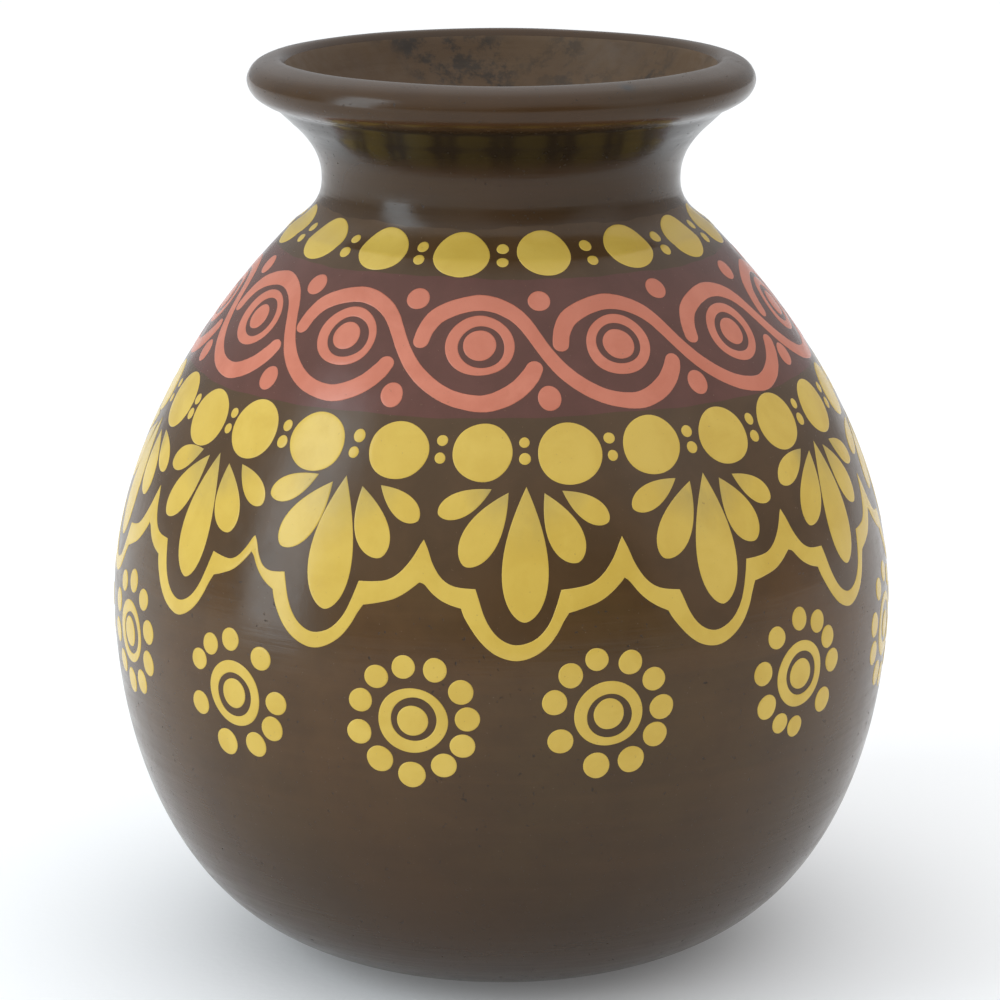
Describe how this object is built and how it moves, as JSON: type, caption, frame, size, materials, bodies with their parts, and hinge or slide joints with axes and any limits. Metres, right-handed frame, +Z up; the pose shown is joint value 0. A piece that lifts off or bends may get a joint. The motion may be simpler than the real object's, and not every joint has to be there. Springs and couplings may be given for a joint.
{
  "type": "earthenware vase",
  "caption": "Round-bellied burnished earthenware vase with a waisted neck, flared rolled lip and bands of slip-painted flowers, dots and scrollwork.",
  "frame": {"origin": "centre of the foot, on the surface that the vase stands on", "axes": "+Z up along the axis of the round body; -Y is the side that faces the viewer"},
  "size_m": [0.2214, 0.2214, 0.254],
  "materials": {
    "burnished_clay": "satin, burnished",
    "yellow_slip": "satin, painted under the burnish",
    "coral_slip": "satin, painted under the burnish",
    "maroon_slip": "satin, painted under the burnish"
  },
  "bodies": {
    "root": {"foot_slab": "burnished_clay", "lower_bowl": "burnished_clay", "shoulder": "burnished_clay", "neck_collar": "burnished_clay", "lip_coil": "burnished_clay"}
  },
  "joints": []
}
